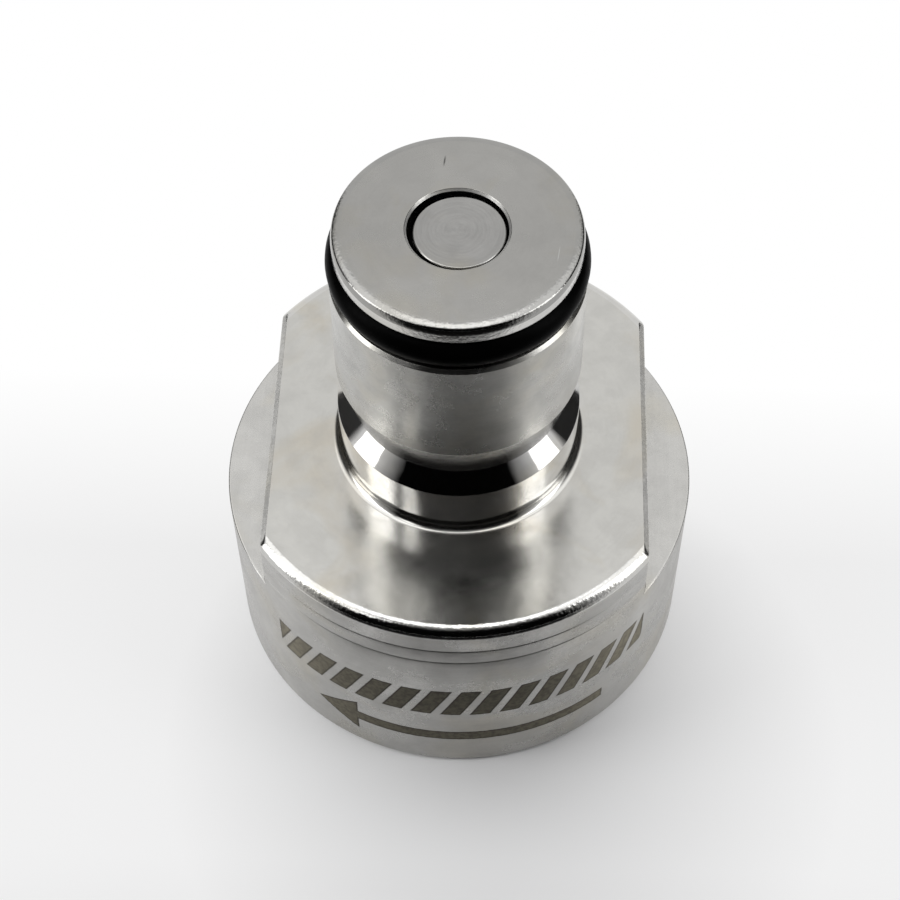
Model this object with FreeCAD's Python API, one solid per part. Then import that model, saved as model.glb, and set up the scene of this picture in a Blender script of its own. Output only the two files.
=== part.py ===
"""Carbonation cap: a turned steel screw cap for a 28 mm bottle neck with a ball-lock gas post on top.

Millimetres. The origin is the middle of the cap's bottom rim, and +Z runs up the axis to the post.
The wrench flats face +X and -X. Outlines are (radius, height) corners that are turned about the axis.
"""
import FreeCAD, Part
import math
import os

# Skirt and platform
skirt_radius = 17.0
skirt_height = 14.0
platform_height = 5.1
across_flats = 27.0
rim_chamfer = 0.35
edge_round = 1.06
edge_wall_degrees = 28.0
flat_chamfer = 0.38

# Bottle neck side
thread_root_radius = 13.9
ledge_wall = 1.2
mouth_chamfer = 0.6
relief_depth = 0.45
bottle_seal_thickness = 2.0
bottle_seal_hole_radius = 7.6
bottle_seal_clearance = 0.2

# Gas post, outside
collar_radius = 8.5
collar_height = 4.1
foot_round = 0.55
neck_radius = 7.1
neck_height = 0.2
lip_radius = 7.8
lip_rise = 0.3
taper_height = 2.9
post_radius = 8.42
post_land_height = 9.09
land_chamfer = 0.22
flange_radius = 8.08
flange_height = 1.35
flange_round = 0.6

# O-ring on the post
post_ring_section = 2.3
post_ring_inner_radius = 6.24
post_groove_height = 2.56
ring_seat_clearance = 0.02

# Valve poppet
pin_radius = 2.98
pin_clearance = 0.27
pin_sunk = 0.15
pin_round = 0.12
hole_chamfer = 0.16
pin_lean_x = 0.12
pin_lean_y = -0.16
top_wall = 1.8
valve_seal_thickness = 1.2
valve_seal_width = 1.35
valve_seat_clearance = 0.05
poppet_head_height = 1.05
poppet_tail_length = 1.7
chamber_gas_gap = 0.57

# Spring
spring_mean_radius = 3.3
spring_wire = 0.6
spring_pitch = 1.275
spring_seat_clearance = 0.02
spring_guide_clearance = 0.3

# Dip tube connection
tube_radius = 4.0
tube_clearance = 0.1
tube_ring_section = 1.9
tube_ring_squeeze = 0.08
spacer_thickness = 0.9
spacer_clearance = 0.2
bush_nose_length = 1.8
bush_spigot_height = 0.9
bush_socket_length = 3.4
bush_stop_wall = 1.2
gas_hole_radius = 1.7
press_clearance = 0.02
ring_pocket_clearance = 0.03

# Collet and its housing
collet_wall = 0.75
collet_clearance = 0.08
collet_travel = 1.1
collet_head_straight = 0.9
collet_stop_clearance = 0.1
finger_count = 6
finger_slot = 0.8
finger_root = 1.2
button_flange = 1.35
button_thickness = 0.8
button_round = 0.25
lead_in = 0.35
housing_recess = 0.4
housing_mouth_gap = 0.25
housing_mouth_length = 1.6
housing_cone_length = 2.4
housing_cone_rise = 0.8
housing_end_wall = 0.8
housing_wall = 0.9
pocket_chamfer = 0.3
tooth_thickness = 0.25
tooth_rise = 0.5
tooth_bite = 0.07
tooth_root_depth = 0.65
tooth_slot_clearance = 0.03
tooth_side_degrees = 4.0

# Radii worked out from the sizes above
relief_radius = thread_root_radius + relief_depth
post_groove_radius = post_ring_inner_radius - ring_seat_clearance
pin_hole_radius = pin_radius + pin_clearance
valve_seal_radius = pin_radius + valve_seal_width
chamber_radius = valve_seal_radius + chamber_gas_gap
spring_guide_radius = spring_mean_radius - spring_wire / 2 - spring_guide_clearance
tube_bore_radius = tube_radius + tube_clearance
tube_ring_inner_radius = tube_radius - tube_ring_squeeze
tube_pocket_radius = tube_ring_inner_radius + tube_ring_section + ring_pocket_clearance
spacer_hole_radius = tube_radius + spacer_clearance
collet_radius = tube_bore_radius + collet_wall
button_radius = collet_radius + button_flange
housing_mouth_radius = collet_radius + housing_mouth_gap
housing_chamber_radius = housing_mouth_radius + housing_cone_rise
housing_pocket_radius = housing_chamber_radius + housing_wall

# Heights worked out from the sizes above
ceiling = skirt_height - ledge_wall
thread_depth = ceiling - bottle_seal_thickness
platform_top = skirt_height + platform_height
collar_top = platform_top + collar_height
cone_top = collar_top + collar_radius - neck_radius
neck_top = cone_top + neck_height
lip_level = neck_top + lip_rise
land_bottom = lip_level + taper_height
groove_floor = land_bottom + post_land_height
flange_bottom = groove_floor + post_groove_height
post_top = flange_bottom + flange_height
chamber_top = post_top - top_wall
housing_bottom = ceiling + housing_recess
cone_bottom = housing_bottom + housing_mouth_length
cone_end = cone_bottom + housing_cone_length
collet_tip = cone_end + collet_head_straight
housing_chamber_end = collet_tip + collet_travel + collet_stop_clearance
housing_top = housing_chamber_end + housing_end_wall
button_top = housing_bottom - collet_travel - collet_stop_clearance
spacer_bottom = housing_top + tube_ring_section + 2 * ring_seat_clearance
spacer_top = spacer_bottom + spacer_thickness
bush_bottom = spacer_top + tube_ring_section + 2 * ring_seat_clearance
tube_stop = bush_bottom + bush_socket_length
bush_shoulder = tube_stop + bush_stop_wall
bush_top = bush_shoulder + bush_nose_length
valve_seal_top = chamber_top - valve_seat_clearance
poppet_head_top = valve_seal_top - valve_seal_thickness
poppet_head_bottom = poppet_head_top - poppet_head_height

axis_point = FreeCAD.Vector(0, 0, 0)
up = FreeCAD.Vector(0, 0, 1)


def corner_arc(before, corner, after, rounding):
    """The three points of an arc of the given radius, tangent to the two edges that meet at a corner."""
    towards_before = (before - corner).normalize()
    towards_after = (after - corner).normalize()
    half_angle = towards_before.getAngle(towards_after) / 2
    bisector = (towards_before + towards_after).normalize()
    set_back = rounding / math.tan(half_angle)
    depth = rounding / math.sin(half_angle) - rounding
    start = corner + towards_before * set_back
    return [start, corner + bisector * depth, corner + towards_after * set_back]


def points_of(corner):
    """Points of one outline corner in the XZ plane; an arc is given as a list of its three points."""
    spots = corner if isinstance(corner, list) else [corner]
    return [FreeCAD.Vector(spot[0], 0, spot[1]) for spot in spots]


def section(corners):
    """A flat face in the XZ plane. Its corners are (radius, height), where a third number rounds that
    corner, or a list of three such points for an arc through them."""
    stretches = [points_of(corner) for corner in corners]
    for index, corner in enumerate(corners):
        if isinstance(corner, tuple) and len(corner) == 3:
            before = points_of(corners[index - 1])[-1]
            after = points_of(corners[(index + 1) % len(corners)])[0]
            stretches[index] = corner_arc(before, stretches[index][0], after, corner[2])
    edges = []
    for index, stretch in enumerate(stretches):
        edges.append(Part.LineSegment(stretches[index - 1][-1], stretch[0]).toShape())
        if len(stretch) == 3:
            edges.append(Part.Arc(*stretch).toShape())
    return Part.Face(Part.Wire(edges))


def turned(corners, degrees=360.0):
    """A solid turned about the Z axis from its (radius, height) outline."""
    return section(corners).revolve(axis_point, up, degrees)


def o_ring(inner_radius, wire, centre_height):
    """A rubber ring of round section."""
    return Part.makeTorus(inner_radius + wire / 2, wire / 2, FreeCAD.Vector(0, 0, centre_height))


def soft_edge(wall_radius, top, rounding, wall_degrees):
    """Arc over a wall's top edge. It leaves the flat top smoothly and meets the wall at a crisp line,
    where it still leans the given degrees from upright."""
    arc = []
    for degrees in (wall_degrees, (wall_degrees + 90) / 2, 90):
        turn = math.radians(degrees)
        inset = rounding * (math.cos(math.radians(wall_degrees)) - math.cos(turn))
        arc.append((wall_radius - inset, top - rounding * (1 - math.sin(turn))))
    return arc


def outside_outline():
    """Outer outline of the cap body, from the bottom rim up to the hole in the post's top face."""
    return [
        (thread_root_radius + mouth_chamfer, 0),
        (skirt_radius - rim_chamfer, 0),
        (skirt_radius, rim_chamfer),
        soft_edge(skirt_radius, platform_top, edge_round, edge_wall_degrees),
        (collar_radius, platform_top, foot_round),
        (collar_radius, collar_top),
        (neck_radius, cone_top),
        (neck_radius, neck_top),
        (lip_radius, lip_level),
        (post_radius, land_bottom),
        (post_radius, groove_floor - land_chamfer),
        (post_radius - land_chamfer, groove_floor),
        (post_groove_radius, groove_floor),
        (post_groove_radius, flange_bottom),
        (flange_radius, flange_bottom),
        (flange_radius, post_top, flange_round),
        (pin_hole_radius + hole_chamfer, post_top),
    ]


def inside_outline():
    """Bores of the cap body, from the hole in the post's top face down to the thread's mouth."""
    return [
        (pin_hole_radius, post_top - hole_chamfer),
        (pin_hole_radius, chamber_top),
        (chamber_radius, chamber_top),
        (chamber_radius, bush_shoulder),
        (tube_pocket_radius, bush_shoulder),
        (tube_pocket_radius, housing_top),
        (housing_pocket_radius, housing_top),
        (housing_pocket_radius, ceiling + pocket_chamfer),
        (housing_pocket_radius + pocket_chamfer, ceiling),
        (relief_radius, ceiling),
        (relief_radius, thread_depth),
        (thread_root_radius, thread_depth),
        (thread_root_radius, mouth_chamfer),
    ]


def flat_cutter(side):
    """The metal milled off beside one wrench flat, down to the ledge, with the flat's top edge broken."""
    flat = across_flats / 2
    beyond = skirt_radius + 1
    above = platform_top + 1
    corners = [
        (flat, skirt_height),
        (flat, platform_top - flat_chamfer),
        (flat - flat_chamfer, platform_top),
        (flat - flat_chamfer, above),
        (beyond, above),
        (beyond, skirt_height),
    ]
    face = section([(side * x, z) for x, z in corners])
    face.translate(FreeCAD.Vector(0, -beyond, 0))
    return face.extrude(FreeCAD.Vector(0, 2 * beyond, 0))


def cap_body():
    """Skirt, platform with wrench flats, and gas post with its ball-lock groove, bored through."""
    body = turned(outside_outline() + inside_outline())
    return body.cut([flat_cutter(1), flat_cutter(-1)])


def bottle_seal():
    """Flat washer in the relief above the thread, against the ceiling of the cap."""
    outer_radius = relief_radius - bottle_seal_clearance
    edge_round = bottle_seal_thickness / 8
    return turned([
        (bottle_seal_hole_radius, thread_depth, edge_round),
        (outer_radius, thread_depth, edge_round),
        (outer_radius, ceiling),
        (bottle_seal_hole_radius, ceiling),
    ])


def post_o_ring():
    """Seal of the gas post; it lies on the lower wall of its groove."""
    centre = groove_floor + ring_seat_clearance + post_ring_section / 2
    return o_ring(post_ring_inner_radius, post_ring_section, centre)


def leaned(shape):
    """The loose poppet stands a little to one side in its hole."""
    shape.translate(FreeCAD.Vector(pin_lean_x, pin_lean_y, 0))
    return shape


def poppet_pin():
    """Turned valve poppet: pin through the post's top wall, head, and tail inside the spring."""
    tail_end = poppet_head_bottom - poppet_tail_length
    tail_radius = spring_guide_radius - spring_guide_clearance
    return leaned(turned([
        (0, tail_end),
        (tail_radius, tail_end, tail_radius / 5),
        (tail_radius, poppet_head_bottom),
        (valve_seal_radius, poppet_head_bottom),
        (valve_seal_radius, poppet_head_top),
        (pin_radius, poppet_head_top),
        (pin_radius, post_top - pin_sunk, pin_round),
        (0, post_top - pin_sunk),
    ]))


def poppet_seal():
    """Rubber washer on the poppet's head that closes against the inside of the post's top wall."""
    return leaned(turned([
        (pin_radius, poppet_head_top),
        (valve_seal_radius, poppet_head_top),
        (valve_seal_radius, valve_seal_top, valve_seal_thickness / 4),
        (pin_radius, valve_seal_top),
    ]))


def poppet_spring():
    """Coil spring between the bush and the poppet's head."""
    wire_radius = spring_wire / 2
    start = bush_top + spring_seat_clearance + wire_radius
    height = poppet_head_bottom - spring_seat_clearance - wire_radius - start
    coil = Part.makeHelix(spring_pitch, height, spring_mean_radius)
    rim = Part.makeCircle(wire_radius, FreeCAD.Vector(spring_mean_radius, 0, 0), FreeCAD.Vector(0, 1, 0))
    spring = Part.Wire(coil).makePipeShell([Part.Wire(rim)], True, True)
    spring.translate(FreeCAD.Vector(0, 0, start))
    return spring


def spring_bush():
    """Bush pressed in above the tube seals: spring seat on top, stop and socket for the tube below."""
    flange_outer = tube_pocket_radius - press_clearance
    nose_outer = chamber_radius - press_clearance
    return turned([
        (tube_bore_radius, bush_bottom),
        (flange_outer, bush_bottom),
        (flange_outer, bush_shoulder),
        (nose_outer, bush_shoulder),
        (nose_outer, bush_top),
        (spring_guide_radius, bush_top),
        (spring_guide_radius, bush_top + bush_spigot_height, bush_spigot_height / 4),
        (gas_hole_radius, bush_top + bush_spigot_height),
        (gas_hole_radius, tube_stop),
        (tube_bore_radius, tube_stop),
    ])


def tube_o_ring(seat_height):
    """One seal round the dip tube, lying on the given height."""
    centre = seat_height + ring_seat_clearance + tube_ring_section / 2
    return o_ring(tube_ring_inner_radius, tube_ring_section, centre)


def o_ring_spacer():
    """Washer that keeps the two tube seals apart."""
    outer_radius = tube_pocket_radius - press_clearance
    edge_round = spacer_thickness / 5
    return turned([
        (spacer_hole_radius, spacer_bottom, edge_round),
        (outer_radius, spacer_bottom),
        (outer_radius, spacer_top),
        (spacer_hole_radius, spacer_top, edge_round),
    ])


def collet_housing():
    """Sleeve pressed into the cap from below; its cone squeezes the collet's fingers onto the tube."""
    outer_radius = housing_pocket_radius - press_clearance
    return turned([
        (housing_mouth_radius + lead_in, housing_bottom),
        (outer_radius, housing_bottom),
        (outer_radius, housing_top),
        (spacer_hole_radius, housing_top),
        (spacer_hole_radius, housing_chamber_end),
        (housing_chamber_radius, housing_chamber_end),
        (housing_chamber_radius, cone_end),
        (housing_mouth_radius, cone_bottom),
        (housing_mouth_radius, housing_bottom + lead_in),
    ])


def tooth_outline(clearance):
    """Section of a blade that slants inwards and up, so that a tube slides in but not out."""
    root_radius = tube_bore_radius + tooth_root_depth
    tip_radius = tube_radius - tooth_bite
    low = cone_end - tooth_rise - clearance
    thick = tooth_thickness + 2 * clearance
    return [
        (root_radius + clearance, low),
        (root_radius + clearance, low + thick),
        (tip_radius, low + tooth_rise + thick),
        (tip_radius, low + tooth_rise),
    ]


def collet():
    """Slotted collet: release button below, tube bore, and fingers with conical heads on top."""
    shoulder_radius = housing_mouth_radius - collet_clearance
    head_radius = housing_chamber_radius - collet_clearance
    button_bottom = button_top - button_thickness
    blank = turned([
        (tube_bore_radius + lead_in, button_bottom),
        (button_radius, button_bottom, button_round),
        (button_radius, button_top),
        (collet_radius, button_top),
        (collet_radius, cone_bottom + collet_radius - shoulder_radius),
        (shoulder_radius, cone_bottom),
        (head_radius, cone_end),
        (head_radius, collet_tip - lead_in),
        (head_radius - lead_in, collet_tip),
        (tube_bore_radius, collet_tip),
        (tube_bore_radius, button_bottom + lead_in),
    ])
    cutters = [turned(tooth_outline(tooth_slot_clearance))]
    slot_corner = FreeCAD.Vector(-2 * head_radius, -finger_slot / 2, button_top + finger_root)
    for index in range(finger_count // 2):
        slot = Part.makeBox(4 * head_radius, finger_slot, collet_tip, slot_corner)
        slot.rotate(axis_point, up, index * 360.0 / finger_count)
        cutters.append(slot)
    return blank.cut(cutters)


def collet_teeth():
    """One steel blade in each finger of the collet."""
    slot_degrees = math.degrees(finger_slot / tube_bore_radius)
    blade_degrees = 360.0 / finger_count - slot_degrees - tooth_side_degrees
    blades = []
    for index in range(finger_count):
        blade = turned(tooth_outline(0), blade_degrees)
        middle_of_finger = (index + 0.5) * 360.0 / finger_count
        blade.rotate(axis_point, up, middle_of_finger - blade_degrees / 2)
        blades.append(blade)
    return Part.makeCompound(blades)


pieces = {
    "cap_body": cap_body(),
    "bottle_seal": bottle_seal(),
    "post_o_ring": post_o_ring(),
    "poppet_pin": poppet_pin(),
    "poppet_seal": poppet_seal(),
    "poppet_spring": poppet_spring(),
    "spring_bush": spring_bush(),
    "upper_tube_o_ring": tube_o_ring(spacer_top),
    "o_ring_spacer": o_ring_spacer(),
    "lower_tube_o_ring": tube_o_ring(housing_top),
    "collet_housing": collet_housing(),
    "collet": collet(),
    "collet_teeth": collet_teeth(),
}

os.makedirs("parts", exist_ok=True)
for name, shape in pieces.items():
    shape.exportStep(f"parts/{name}.step")
    print(name, "valid", shape.isValid(), "solids", len(shape.Solids), "volume", round(shape.Volume, 2))
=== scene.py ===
"""Carbonation cap with a ball-lock gas post: its surfaces and finishes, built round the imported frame.

Shapes are worked out in millimetres, z up from the middle of the bottom rim, and become metres in the mesh.
"""
import math

import bmesh
import bpy
import numpy as np
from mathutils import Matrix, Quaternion, Vector


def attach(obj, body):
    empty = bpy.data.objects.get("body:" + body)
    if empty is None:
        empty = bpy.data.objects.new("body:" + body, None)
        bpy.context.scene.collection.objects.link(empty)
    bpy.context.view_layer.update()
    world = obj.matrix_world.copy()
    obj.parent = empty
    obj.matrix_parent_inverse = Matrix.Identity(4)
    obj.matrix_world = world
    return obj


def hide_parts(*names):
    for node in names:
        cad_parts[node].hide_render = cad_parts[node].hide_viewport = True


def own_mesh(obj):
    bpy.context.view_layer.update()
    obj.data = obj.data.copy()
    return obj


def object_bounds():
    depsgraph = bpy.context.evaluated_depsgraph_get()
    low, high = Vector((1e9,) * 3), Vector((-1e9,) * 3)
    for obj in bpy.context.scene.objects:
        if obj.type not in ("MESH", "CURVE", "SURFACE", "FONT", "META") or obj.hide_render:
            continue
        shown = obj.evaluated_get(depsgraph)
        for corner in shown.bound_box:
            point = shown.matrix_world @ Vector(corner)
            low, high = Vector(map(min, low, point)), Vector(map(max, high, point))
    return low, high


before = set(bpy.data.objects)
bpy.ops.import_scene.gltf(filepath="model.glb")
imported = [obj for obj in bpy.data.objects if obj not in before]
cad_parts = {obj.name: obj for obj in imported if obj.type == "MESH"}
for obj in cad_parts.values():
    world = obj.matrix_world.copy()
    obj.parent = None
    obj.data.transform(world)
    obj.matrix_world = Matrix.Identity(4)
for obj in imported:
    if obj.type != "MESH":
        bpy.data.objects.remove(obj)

frame_low, frame_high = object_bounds()
mm = 0.001

# Cap body: one piece of stainless bar, turned outside and bored through, then milled on two sides down to a
# ledge for the wrench. Its skirt is satin, its groove for the coupler's balls is polished.
skirt_radius = frame_high.x / mm
post_top = frame_high.z / mm
skirt_height = 14.0
rim_chamfer = 0.35
platform_top = 19.1
flat_distance = 13.5
flat_chamfer = 0.38
platform_round = 0.875
edge_lean = 12.9
ledge_edge_round = 0.1
ledge_foot_round = 0.16
ledge_full_width = 0.4
corner_softness = 0.18
tool_line_heights = (16.7, 15.13)
tool_line_depth = 0.045
tool_line_width = 0.055
foot_round = 0.55
collar_radius = 8.5
collar_top = 23.2
neck_radius = 7.1
neck_bottom = 24.6
lip_radius = 7.53
taper_bottom = 24.72
taper_top = 28.0
land_radius = 8.42
land_top = 37.09
land_chamfer = 0.22
ring_groove_radius = 6.22
flange_bottom = 39.65
flange_radius = 8.08
flange_edge_bends = ((1.25, 20), (0.212, 70), (1.7, 90))

# Its bore from the top down: the poppet's hole, the valve chamber, the pocket of the tube's seals, that of
# the collet's housing, and the cavity for the bottle's neck with a relief for its seal.
pin_hole_radius = 3.25
pin_hole_chamfer = 0.16
chamber_radius = 4.9
chamber_top = 39.2
seal_pocket_radius = 5.85
seal_pocket_top = 29.48
housing_pocket_radius = 6.8
housing_pocket_top = 20.1
pocket_chamfer = 0.3
ceiling = 12.8
relief_radius = 14.35
relief_bottom = 10.8
thread_root = 13.9
mouth_chamfer = 0.6


def rounded(corners, arc_steps=5, support=0.03):
    """Outline points: each corner (radius, height, rounding) becomes an arc tangent to its two edges.

    The arc's centre lies on the corner's bisector at rounding / sin(half angle). One more point stands a
    little way out along each edge, so that the flat stretches between the arcs shade flat.
    """
    spots = np.array([corner[:2] for corner in corners], float)
    outline = []
    for index, corner in enumerate(corners):
        rounding = corner[2] if len(corner) == 3 else 0
        spot = spots[index]
        back = spots[index - 1] - spot
        ahead = spots[(index + 1) % len(spots)] - spot
        back_length, ahead_length = np.hypot(*back), np.hypot(*ahead)
        back, ahead = back / back_length, ahead / ahead_length
        if rounding == 0:
            outline.append(spot[None])
            continue
        half = math.acos(np.clip(back @ ahead, -1, 1)) / 2
        set_back = rounding / math.tan(half)
        bisector = (back + ahead) / np.hypot(*(back + ahead))
        centre = spot + bisector * rounding / math.sin(half)
        start, end = spot + back * set_back, spot + ahead * set_back
        share = np.linspace(0, 1, arc_steps + 1)[:, None]
        sweep = math.pi - 2 * half
        weight_end = np.sin(share * sweep) / math.sin(sweep)
        weight_start = np.sin((1 - share) * sweep) / math.sin(sweep)
        arc = centre + (start - centre) * weight_start + (end - centre) * weight_end
        before = spot + back * min(set_back + support, back_length / 2)
        after = spot + ahead * min(set_back + support, ahead_length / 2)
        outline.append(np.vstack([before, arc, after]))
    return np.vstack(outline)


def bent_edge(wall_radius, top, bends, steps=8):
    """Outline points up a wall and over onto its flat top; a bend is a radius and its last slope in degrees.

    An arc of radius R from slope a to slope b goes inwards by R (cos a - cos b) and up by R (sin b - sin a).
    """
    slopes = np.radians([0] + [slope for _, slope in bends])
    rises = [size * (math.sin(b) - math.sin(a)) for (size, _), a, b in zip(bends, slopes, slopes[1:])]
    radius, height = wall_radius, top - sum(rises)
    points = [(radius, height)]
    for (size, _), start, end in zip(bends, slopes, slopes[1:]):
        for slope in np.linspace(start, end, steps + 1)[1:]:
            inwards = size * (math.cos(start) - math.cos(slope))
            points.append((radius - inwards, height + size * (math.sin(slope) - math.sin(start))))
        radius, height = points[-1]
    return points


def turned_grid(outline, angles):
    """Points (r cos a, r sin a, z) for every outline point (r, z) and every angle a."""
    radius, height = outline[:, :1], outline[:, 1:]
    level = height + 0 * angles[None]
    return np.stack([radius * np.cos(angles), radius * np.sin(angles), level], axis=-1)


def around(columns):
    """Evenly spaced angles once round the axis."""
    return np.linspace(0, 2 * np.pi, columns, endpoint=False)


def surface(name, grid, materials, material_rows=None, loop=True, wrap=True):
    """Mesh of a grid of points in millimetres: quads between neighbours, closed along rows and columns.

    Rows that fall together, as at a pole, are merged, and the faces are turned outwards.
    """
    rows, columns = grid.shape[:2]
    last_row = rows if loop else rows - 1
    last_column = columns if wrap else columns - 1
    row, column = np.meshgrid(np.arange(last_row), np.arange(last_column), indexing="ij")
    below, above = row % rows, (row + 1) % rows
    here, beside = column % columns, (column + 1) % columns
    below, above = below * columns, above * columns
    quads = np.stack([below + here, below + beside, above + beside, above + here], axis=-1).reshape(-1, 4)
    mesh = bpy.data.meshes.new(name)
    mesh.from_pydata((grid.reshape(-1, 3) * mm).tolist(), [], quads.tolist())
    for material in materials:
        mesh.materials.append(material)
    if material_rows is not None:
        mesh.polygons.foreach_set("material_index", np.asarray(material_rows, np.int32).ravel())
    return finished(name, mesh)


def finished(name, mesh):
    """An object of a closed mesh: doubles merged, normals outwards, smooth."""
    work = bmesh.new()
    work.from_mesh(mesh)
    bmesh.ops.remove_doubles(work, verts=work.verts, dist=1e-6)
    bmesh.ops.dissolve_degenerate(work, edges=work.edges, dist=1e-7)
    bmesh.ops.recalc_face_normals(work, faces=work.faces)
    work.to_mesh(mesh)
    work.free()
    mesh.polygons.foreach_set("use_smooth", np.ones(len(mesh.polygons), bool))
    made = bpy.data.objects.new(name, mesh)
    bpy.context.scene.collection.objects.link(made)
    return made


def add(tree, kind, inputs=None, **settings):
    """A node with its settings; each input is a number, a colour or another node's output."""
    made = tree.nodes.new(kind)
    for name, value in settings.items():
        setattr(made, name, value)
    for name, value in (inputs or {}).items():
        if isinstance(value, bpy.types.NodeSocket):
            tree.links.new(value, made.inputs[name])
        else:
            made.inputs[name].default_value = value
    return made


def calc(tree, operation, *values):
    """A sum or other plain calculation on numbers and outputs."""
    return add(tree, "ShaderNodeMath", dict(enumerate(values)), operation=operation).outputs[0]


def spread(tree, value, low, high, new_low, new_high):
    """A value moved from one range to another, held at the ends."""
    ends = {"From Min": low, "From Max": high, "To Min": new_low, "To Max": new_high}
    return add(tree, "ShaderNodeMapRange", {"Value": value, **ends}).outputs[0]


def blend(tree, factor, first, second):
    """A colour between two colours."""
    made = add(tree, "ShaderNodeMix", {"Factor": factor}, data_type="RGBA")
    for socket, value in ((made.inputs[6], first), (made.inputs[7], second)):
        if isinstance(value, bpy.types.NodeSocket):
            tree.links.new(value, socket)
        else:
            socket.default_value = (*value, 1)
    return made.outputs[2]


def new_finish(name):
    """A material's node tree, its main shader and its Object coordinates."""
    material = bpy.data.materials.new(name)
    material.use_nodes = True
    tree = material.node_tree
    shader = tree.nodes["Principled BSDF"]
    place = add(tree, "ShaderNodeTexCoord").outputs["Object"]
    return material, tree, shader, place


def grain(tree, place, cell, detail=3.0, **inputs):
    """Noise with cells of the given size in millimetres."""
    values = {"Vector": place, "Scale": 1 / (cell * mm), "Detail": detail, **inputs}
    return add(tree, "ShaderNodeTexNoise", values).outputs["Fac"]


def turning_marks(tree, place, line_width, round_length):
    """Noise that is fine across the tool's path and long round the axis, on walls and on flat faces alike.

    The fourth coordinate of the noise is the distance from the axis, the third is the height, and the first
    two are the direction from the axis, so that there is no seam.
    """
    flat = add(tree, "ShaderNodeVectorMath", {0: place, 1: (1, 1, 0)}, operation="MULTIPLY").outputs[0]
    radius = add(tree, "ShaderNodeVectorMath", {0: flat}, operation="LENGTH").outputs["Value"]
    outward = add(tree, "ShaderNodeVectorMath", {0: flat}, operation="NORMALIZE").outputs[0]
    slow = add(tree, "ShaderNodeVectorMath", {0: outward, "Scale": round_length}, operation="SCALE")
    upwards = (0, 0, 1 / (line_width * mm))
    high = add(tree, "ShaderNodeVectorMath", {0: place, 1: upwards}, operation="MULTIPLY").outputs[0]
    point = add(tree, "ShaderNodeVectorMath", {0: slow.outputs[0], 1: high}, operation="ADD").outputs[0]
    across = calc(tree, "MULTIPLY", radius, 1 / (line_width * mm))
    inputs = {"Vector": point, "W": across, "Scale": 1.0, "Detail": 3.0, "Roughness": 0.6}
    return add(tree, "ShaderNodeTexNoise", inputs, noise_dimensions="4D").outputs["Fac"]


def milling_marks(tree, place, line_width, run):
    """Noise that is fine across the cutter's path and long along Y, on the flats and on the ledges."""
    stretch = (1 / (line_width * mm), 0.15 / (run * mm), 1 / (line_width * mm))
    point = add(tree, "ShaderNodeVectorMath", {0: place, 1: stretch}, operation="MULTIPLY").outputs[0]
    return add(tree, "ShaderNodeTexNoise", {"Vector": point, "Scale": 1.0, "Detail": 3.0}).outputs["Fac"]


def steel(name, colour, roughness, marks=0.25, cloud=0.08, speckle=0.06, bump=0.0008, ragged=0.0005,
          waves=0.006, blotches=0.06, stain=(0.99, 0.965, 0.9), stretch=0.65, path=turning_marks):
    """Machined stainless steel: tool marks along a path, fine speckle, cloudy sheen, faint warm stains.

    The marks, a fine raggedness and a slow waviness stand up by the given millimetres. Turned steel
    stretches its reflections across the marks, which run round the axis.
    """
    material, tree, shader, place = new_finish(name)
    lines = path(tree, place, 0.16, 1.3)
    fine = grain(tree, place, 0.22, 4.0)
    clouds = grain(tree, place, 4.5, 3.0)
    stains = grain(tree, place, 6.5, 4.0, Distortion=0.8)
    warm = tuple(part * shade for part, shade in zip(colour, stain))
    tone = blend(tree, spread(tree, stains, 0.5, 0.68, 0, 1), colour, warm)
    dark = tuple(part * 0.72 for part in colour)
    dull = calc(tree, "MULTIPLY", spread(tree, lines, 0.35, 0.75, 0, 1), marks)
    dull = calc(tree, "ADD", dull, calc(tree, "MULTIPLY", spread(tree, fine, 0.4, 0.75, 0, 1), speckle * 4))
    patches = grain(tree, place, 1.7, 5.0, Distortion=0.3)
    dull = calc(tree, "ADD", dull, spread(tree, patches, 0.42, 0.62, 0, blotches * 4))
    tree.links.new(blend(tree, dull, tone, dark), shader.inputs["Base Color"])
    rough = calc(tree, "ADD", spread(tree, clouds, 0.3, 0.7, roughness - cloud, roughness + cloud),
                 spread(tree, fine, 0.3, 0.7, -speckle, speckle))
    tree.links.new(rough, shader.inputs["Roughness"])
    slow = grain(tree, place, 2.6, 2.0)
    height = calc(tree, "MULTIPLY", lines, bump)
    height = calc(tree, "ADD", height, calc(tree, "MULTIPLY", fine, ragged))
    height = calc(tree, "ADD", height, calc(tree, "MULTIPLY", slow, waves))
    relief = add(tree, "ShaderNodeBump", {"Height": height, "Strength": 1.0, "Distance": mm})
    tree.links.new(relief.outputs[0], shader.inputs["Normal"])
    if path is turning_marks:
        around_axis = add(tree, "ShaderNodeVectorMath", {0: (0, 0, 1), 1: place}, operation="CROSS_PRODUCT")
        tree.links.new(around_axis.outputs[0], shader.inputs["Tangent"])
        shader.inputs["Anisotropic"].default_value = stretch
        shader.inputs["Anisotropic Rotation"].default_value = 0.25
    shader.inputs["Metallic"].default_value = 1.0
    return material


def within(tree, value, low, high, soft):
    """One between two limits and nothing outside, with soft edges."""
    rise = spread(tree, value, low - soft, low + soft, 0, 1)
    return calc(tree, "MULTIPLY", rise, spread(tree, value, high - soft, high + soft, 1, 0))


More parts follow.
